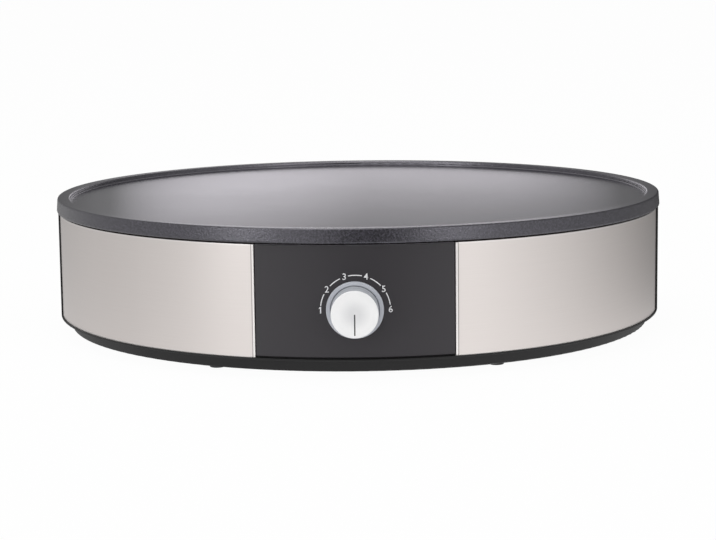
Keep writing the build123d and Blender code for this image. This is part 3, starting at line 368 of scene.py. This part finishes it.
rubber = Surface("foot_rubber")
bloom = rubber.noise(rubber.place(), scale=700.0, detail=3.0, roughness=0.6)
rubber.shade(
    Base_Color=rubber.blend(bloom, rubber_dark, rubber_light),
    Roughness=rubber_roughness + bloom * bloom_roughness,
    Normal=rubber.bump(bloom, bloom_depth),
)
rubber.dress("foot_front_right", "foot_rear_right", "foot_rear_left", "foot_front_left")

# ---- Inside the drum ----
# The heater, thermostat, pilot lamp, terminals, wires and fixings, which only show through the
# vents. Each is a plain pressed or bought-in part in its usual metal, plastic or ceramic.
mottle_roughness = 0.2
wire_colours = {
    "wire_live": ((0.17, 0.08, 0.04), (0.12, 0.055, 0.03)),
    "wire_switched": ((0.03, 0.03, 0.03), (0.018, 0.018, 0.018)),
    "wire_heater": ((0.42, 0.05, 0.04), (0.32, 0.035, 0.03)),
    "wire_neutral": ((0.04, 0.13, 0.42), (0.03, 0.10, 0.32)),
    "wire_earth": ((0.34, 0.46, 0.06), (0.24, 0.36, 0.05)),
}


def inner(name, light_colour, dark_colour, roughness, scale, depth, **sockets):
    """A finish whose colour, gloss and surface vary together with one noise."""
    finish = Surface(name)
    mottle = finish.noise(finish.place(), scale, detail=3.0, roughness=0.6)
    finish.shade(
        Base_Color=finish.blend(mottle, light_colour, dark_colour),
        Roughness=roughness + (mottle - 0.5) * mottle_roughness,
        Normal=finish.bump(mottle, depth),
        **sockets,
    )
    return finish


inner(
    "zinc_plate", (0.66, 0.66, 0.67), (0.52, 0.52, 0.55),
    roughness=0.34, scale=260.0, depth=0.00002, Metallic=1.0,
).dress(
    "element_straps", "strap_screws", "plate_screws", "panel_screws", "thermostat_bracket",
    "bracket_screws", "thermostat_plate", "thermostat_screws", "thermostat_cup",
    "thermostat_spindle", "bulb_clip", "bulb_clip_screws", "thermal_fuse", "fuse_clip",
    "fuse_clip_screws", "terminal_screws", "block_screw", "earth_screw", "base_screws",
    "knob_spring",
)
inner(
    "heater_sheath", (0.40, 0.38, 0.36), (0.24, 0.21, 0.19),
    roughness=0.46, scale=180.0, depth=0.00004, Metallic=1.0,
).dress("heating_element")
inner(
    "mill_aluminium", (0.78, 0.79, 0.80), (0.68, 0.69, 0.71),
    roughness=0.30, scale=120.0, depth=0.00003, Metallic=1.0,
).dress("heat_reflector")
inner(
    "biscuit_ceramic", (0.84, 0.82, 0.75), (0.72, 0.69, 0.62),
    roughness=0.75, scale=420.0, depth=0.00008,
).dress("plate_insulators", "element_seals")
inner(
    "terminal_moulding", (0.76, 0.75, 0.70), (0.68, 0.67, 0.62),
    roughness=0.45, scale=500.0, depth=0.00003,
).dress("terminal_block", "lamp_holder")
inner(
    "thermostat_moulding", (0.16, 0.07, 0.04), (0.10, 0.045, 0.03),
    roughness=0.40, scale=500.0, depth=0.00003,
).dress("thermostat_head")
inner(
    "plain_brass", (0.76, 0.60, 0.30), (0.62, 0.46, 0.22),
    roughness=0.32, scale=300.0, depth=0.00002, Metallic=1.0,
).dress("terminal_sleeves", "thermostat_blades")
inner(
    "plain_copper", (0.72, 0.40, 0.26), (0.50, 0.26, 0.17),
    roughness=0.34, scale=160.0, depth=0.00003, Metallic=1.0,
).dress("capillary_tube", "sensor_bulb")
inner(
    "lamp_glass", (0.85, 0.32, 0.10), (0.75, 0.24, 0.07),
    roughness=0.12, scale=300.0, depth=0.00001, Transmission_Weight=0.6, IOR=1.5,
).dress("pilot_lamp")
for wire, (light_colour, dark_colour) in wire_colours.items():
    inner(
        wire + "_insulation", light_colour, dark_colour,
        roughness=0.5, scale=350.0, depth=0.00003,
    ).dress(wire)

# ---- Cooking plate ----
# One aluminium casting with a raised rim, screwed down from below and coated all over above. Its
# wall is blasted before coating and stays grainy, the face inside the rim is smoother, and the
# underside stays as cast.
coat_colour = (0.0155, 0.0135, 0.0195)
coat_speckle = (0.0255, 0.023, 0.031)
coat_sheen = (0.92, 0.90, 1.0)
grain_dark = (0.003, 0.0028, 0.0035)
grain_light = (0.036, 0.033, 0.043)
# Painted highlight colour for the thin pale lines on the rim's crest and on its inner step.
crest_highlight_colour = (0.30, 0.29, 0.31)
cast_colour = (0.52, 0.52, 0.53)

face_radius = 0.1718
face_level = 0.0773
crest_level = 0.0790
rim_level = 0.0797
crest_radius = 0.1723
step_radius = 0.1711
highlight_half = 0.0006
step_highlight_share = 0.4
rim_inner = 0.1731
rim_flat = 0.0063
rim_dish = 0.00034
rear_gain = 75.0
under_level = 0.0728
under_radius = 0.1738

grain_start = 0.38
grain_contrast = 4.0
grain_depth = 0.00013
speckle_start = 0.3
speckle_share = 0.6

face_smoothing = 0.88
face_roughness = 0.16
flat_roughness = 0.04
cloud_roughness = 0.03
lathe_roughness = 0.03
wall_roughness = 0.20
speckle_roughness = 0.10

coat = Surface("plate_coating")
spot = coat.place()
x, y, z = coat.axes(spot)
radius = (x * x + y * y) ** 0.5
flat = z > rim_level
face = ((radius < face_radius) * (z > face_level)).maths("MAXIMUM", flat)
grain = coat.noise(spot, scale=950.0, detail=3.0, roughness=0.6)
speckle = coat.noise(spot, scale=420.0)
cloud = coat.noise(spot, scale=14.0, detail=3.0, roughness=0.55)
around = coat.node("CombineXYZ", {}, {0: radius}).outputs[0]
lathe = coat.noise(around, scale=420.0, detail=3.0, roughness=0.6)
smooth_share = (speckle - speckle_start).clamped() * speckle_share
smooth_tint = coat.blend(smooth_share, coat_colour, coat_speckle)
grainy_share = ((grain - grain_start) * grain_contrast).clamped()
grainy_tint = coat.blend(grainy_share, grain_dark, grain_light)
rear = (abs(x) * y * rear_gain).clamped()
# Painted highlight: a thin pale line along the rim's crest that fades out at the back on both
# sides, and a fainter one on the step just inside it.
crest_highlight = (1.0 - abs(radius - crest_radius) / highlight_half).clamped()
crest_highlight = crest_highlight * (z > crest_level) * (1.0 - rear)
step_highlight = (1.0 - abs(radius - step_radius) / highlight_half).clamped()
step_highlight = step_highlight * (z > face_level) * step_highlight_share
tint = coat.blend(crest_highlight + step_highlight, coat.blend(face, grainy_tint, smooth_tint), crest_highlight_colour)
dish = ((radius - rim_inner) / rim_flat).clamped() * (1.0 + rear)
bare = (z < under_level) * (radius < under_radius)
smooth = face_roughness + flat * flat_roughness + cloud * cloud_roughness + lathe * lathe_roughness
rough = wall_roughness + speckle * speckle_roughness
relief = grain * (1.0 - face * face_smoothing) * grain_depth + dish * rim_dish
coat.shade(
    Base_Color=coat.blend(bare, tint, cast_colour),
    Roughness=face * smooth + (1.0 - face) * rough,
    IOR=1.85,
    Specular_Tint=coat_sheen,
    Normal=coat.bump(relief, 1.0),
)
coat.dress("baking_plate")

# ---- Side panels ----
# Two curved sheets of stainless steel, satin along their length, with tabs that hold them in slots
# of the housing. Their ends are folded back, which leaves a fine seam, and a painted highlight
# lightens the folds and the long edges where they are rolled in.
panel_radius = 0.1782
steel_end = math.radians(17.3)
steel_foot = 0.0108
steel_head = 0.0711
fold_width = 0.0010
seam_half = 0.0004
seam_depth = 0.00008
rolled_edge = 0.0012
rolled_highlight_share = 0.8

steel_light = (0.735, 0.690, 0.668)
steel_dark = (0.650, 0.602, 0.580)
# Painted highlight colour for the folded ends and the rolled-in long edges.
steel_highlight = (0.86, 0.83, 0.815)
steel_seam = (0.36, 0.34, 0.335)
steel_roughness = 0.30

line_stretch = (26.0, 26.0, 5200.0)
line_share = 0.55
line_roughness = 0.10
line_relief = 0.7
fleck_roughness = 0.05
fleck_relief = 0.3
patch_share = 0.25
satin_depth = 0.000012

satin = Surface("satin_steel")
spot = satin.place()
x, y, z = satin.axes(spot)
inward = (abs(x).maths("ARCTAN2", y * -1.0) - steel_end) * panel_radius
seam = (1.0 - abs(inward - fold_width - seam_half) / seam_half).clamped()
middle = (steel_head + steel_foot) / 2
plain_half = (steel_head - steel_foot) / 2 - rolled_edge
# Painted highlight along the rolled-in long edges and on the folded ends.
rolled_highlight = ((abs(z - middle) - plain_half) / rolled_edge).clamped() * rolled_highlight_share
edge_highlight = (inward < fold_width).maths("MAXIMUM", rolled_highlight)
along_sheet = satin.node("Mapping", {}, {"Vector": spot, "Scale": line_stretch}).outputs[0]
lines = satin.noise(along_sheet, scale=1.0, detail=3.0, roughness=0.65)
fleck = satin.noise(spot, scale=2600.0)
patch = satin.noise(spot, scale=9.0)
tint = satin.blend(lines * line_share + patch * patch_share, steel_light, steel_dark)
relief = (lines * line_relief + fleck * fleck_relief) * satin_depth - seam * seam_depth
satin.shade(
    Base_Color=satin.blend(seam, satin.blend(edge_highlight, tint, steel_highlight), steel_seam),
    Metallic=1.0,
    Roughness=steel_roughness + lines * line_roughness + fleck * fleck_roughness,
    Normal=satin.bump(relief, 1.0),
)
satin.dress("side_panel_left", "side_panel_right")

# ---- Control panel ----
# A curved moulding in black plastic, a little finer than the housing, which screws hold to the
# housing from inside. A thin painted highlight runs along its top edge, where a bump also tilts it
# up.
fascia_colour = (0.0245, 0.0215, 0.0260)
fascia_roughness = 0.42
fascia_patches = 0.08
fascia_relief = 0.08
edge_highlight_colour = (0.30, 0.29, 0.31)
edge_level = 0.0708
edge_height = 0.0004

fascia = Surface("fascia_plastic")
spot = fascia.place()
z = fascia.axes(spot)[2]
# Painted highlight along the top edge, which the bump also tilts upwards.
top_edge_highlight = ((z - edge_level) / edge_height).clamped()
erosion = fascia.noise(spot, scale=2600.0, roughness=0.6)
patches = fascia.noise(spot, scale=24.0)
fascia.shade(
    Base_Color=fascia.blend(top_edge_highlight, fascia_colour, edge_highlight_colour),
    Roughness=fascia_roughness + patches * fascia_patches + erosion * erosion_roughness,
    Normal=fascia.bump(erosion * fascia_relief - top_edge_highlight, edge_height),
)
fascia.dress("control_panel")

# ---- Dial print ----
# Figures from 1 to 6 and the arcs between them, pad-printed in pale grey ink on the control panel.
# The print follows the panel's curve and stands a few hundredths of a millimetre proud of it.
dial_height = 0.0370
print_centre = 0.0003
print_radius = 0.0184
print_lift = 0.00002
print_depth = 0.00004
figure_size = 0.0048
figure_weight = 0.00004
figure_angles = {"1": 180.0, "2": 144.0, "3": 108.0, "4": 72.0, "5": 36.0, "6": 0.0}
arc_spans = ((173.0, 152.5), (136.0, 115.5), (101.5, 79.0), (64.5, 43.5), (29.0, 8.0))
arc_width = 0.0005
arc_steps = 10

one_corners = (
    (0.0004, -0.0018), (0.0004, 0.0018), (0.0001, 0.0018), (-0.0008, 0.0012),
    (-0.0008, 0.0006), (-0.0002, 0.0010), (-0.0002, -0.0018),
)

ink_light = (0.92, 0.92, 0.93)
ink_dark = (0.80, 0.80, 0.82)
ink_roughness = 0.5


def on_panel(drawing):
    """Lays a mesh drawn in x and z about the dial onto the panel, and gives it a thickness."""
    bmesh.ops.recalc_face_normals(drawing, faces=drawing.faces)
    for vert in drawing.verts:
        turn = (vert.co.x + print_centre) / panel_radius
        reach = panel_radius + print_lift
        vert.co = Vector((reach * math.sin(turn), -reach * math.cos(turn), dial_height + vert.co.z))
    for side in drawing.faces:
        if side.normal.y > 0:
            side.normal_flip()
    drawing.normal_update()
    bmesh.ops.solidify(drawing, geom=drawing.faces[:], thickness=print_depth)
    bmesh.ops.recalc_face_normals(drawing, faces=drawing.faces)


def figure_mesh(figure):
    """One printed figure as a flat mesh, centred, drawn in x and z."""
    text = bpy.data.curves.new("figure", "FONT")
    text.body = figure
    text.size = figure_size
    text.offset = figure_weight
    text.align_x = "CENTER"
    text.align_y = "CENTER"
    writing = bpy.data.objects.new("figure", text)
    mesh = bpy.data.meshes.new_from_object(writing)
    bpy.data.objects.remove(writing)
    mesh.transform(Matrix.Rotation(math.pi / 2, 4, "X"))
    return mesh


def one_mesh():
    """The figure 1: a stem with a short flag, drawn like the others."""
    drawing = bmesh.new()
    drawing.faces.new([drawing.verts.new((x, 0, z)) for x, z in one_corners])
    mesh = bpy.data.meshes.new("one")
    drawing.to_mesh(mesh)
    drawing.free()
    return mesh


def on_dial(reach, angle):
    """The point at a reach from the dial's middle, at an angle from its right-hand side."""
    return reach * math.cos(angle), 0, reach * math.sin(angle)


marks = bmesh.new()
for figure, angle in figure_angles.items():
    mesh = one_mesh() if figure == "1" else figure_mesh(figure)
    mesh.transform(Matrix.Translation(on_dial(print_radius, math.radians(angle))))
    marks.from_mesh(mesh)
for start, end in arc_spans:
    ends = [
        marks.verts.new(on_dial(reach, math.radians(start)))
        for reach in (print_radius - arc_width / 2, print_radius + arc_width / 2)
    ]
    edge = marks.edges.new(ends)
    bmesh.ops.spin(
        marks, geom=[*ends, edge], cent=(0, 0, 0), axis=(0, 1, 0), dvec=(0, 0, 0),
        angle=math.radians(start - end), steps=arc_steps, use_merge=False, use_duplicate=False,
    )
on_panel(marks)
marks_mesh = bpy.data.meshes.new("dial_print")
marks.to_mesh(marks_mesh)
marks.free()
dial_print = bpy.data.objects.new("dial_print", marks_mesh)
bpy.context.scene.collection.objects.link(dial_print)

ink = Surface("dial_ink")
cover = ink.noise(ink.place(), scale=3500.0)
ink.shade(Base_Color=ink.blend(cover, ink_light, ink_dark), Roughness=ink_roughness)
marks_mesh.materials.append(ink.block)
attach(dial_print, "housing")

# ---- Light ring ----
# A ring of frosted blue-grey plastic round the knob, which the pilot lamp lights from behind. Its
# flange lies behind the control panel.
ring_light = (0.66, 0.68, 0.73)
ring_dark = (0.58, 0.60, 0.66)
ring_clearness = 0.10
ring_roughness = 0.30
haze_roughness = 0.12

frosted = Surface("frosted_ring")
haze = frosted.noise(frosted.place(), scale=900.0)
frosted.shade(
    Base_Color=frosted.blend(haze, ring_light, ring_dark),
    Roughness=ring_roughness + haze * haze_roughness,
    IOR=1.49,
    Transmission_Weight=ring_clearness,
)
frosted.dress("light_ring")

# ---- Knob ----
# A knob moulded in grey plastic, with painted bands of light and shade round its sides, pushed onto
# the thermostat's spindle. A disc of turned aluminium is let into its face and carries a thin dark
# pointer, and a painted reflection lightens the disc from its middle outwards.
knob_light = (0.57, 0.59, 0.63)
knob_dark = (0.40, 0.415, 0.445)
knob_roughness = 0.42
band_rate = 980.0
painted_band_share = 0.6
skin_share = 0.4
skin_depth = 0.00001

# Painted reflection colours of the cap: shaded in its middle and lit towards its rim.
cap_lit = (1.0, 1.0, 1.0)
cap_shaded = (0.825, 0.825, 0.835)
cap_middle = 0.0024
cap_spread = 0.0062
cap_metal = 0.3
cap_roughness = 0.46
turning_rate = 42000.0
turning_share = 0.06
turning_roughness = 0.08
turning_relief = 0.8
fine_share = 0.04
fine_relief = 0.2
cap_depth = 0.000016

pointer_colour = (0.035, 0.036, 0.04)
pointer_roughness = 0.40
pointer_patches = 0.12


def ripples(distance, rate):
    """Even ripples from 0 to 1 along a distance, at a rate in radians a metre."""
    return (distance * rate).maths("SINE") * 0.5 + 0.5


grey = Surface("knob_plastic")
spot = grey.place()
y = grey.axes(spot)[1]
skin = grey.noise(spot, scale=1600.0)
# Painted bands of light and shade round the knob's sides, along its depth.
painted_bands = ripples(y, band_rate)
grey.shade(
    Base_Color=grey.blend(skin * skin_share + painted_bands * painted_band_share, knob_light, knob_dark),
    Roughness=knob_roughness,
    Normal=grey.bump(skin, skin_depth),
)
grey.dress("knob_body")

spun = Surface("turned_aluminium")
spot = spun.place()
x, _, z = spun.axes(spot)
ring_distance = (x * x + (z - dial_height) ** 2.0) ** 0.5
turning = ripples(ring_distance, turning_rate)
# Painted reflection: the cap lightens from its middle outwards, and the turning lines and fine
# noise darken it a little.
painted_sheen = ((ring_distance - cap_middle) / cap_spread).clamped()
fine = spun.noise(spot, scale=1800.0)
sheen_and_turning = painted_sheen - turning * turning_share - fine * fine_share
spun.shade(
    Base_Color=spun.blend(sheen_and_turning, cap_shaded, cap_lit),
    Metallic=cap_metal,
    Roughness=cap_roughness + turning * turning_roughness,
    Normal=spun.bump(turning * turning_relief + fine * fine_relief, cap_depth),
)
spun.dress("knob_cap")

paint = Surface("pointer_paint")
patches = paint.noise(paint.place(), scale=2200.0)
paint.shade(Base_Color=pointer_colour, Roughness=pointer_roughness + patches * pointer_patches)
paint.dress("knob_pointer")
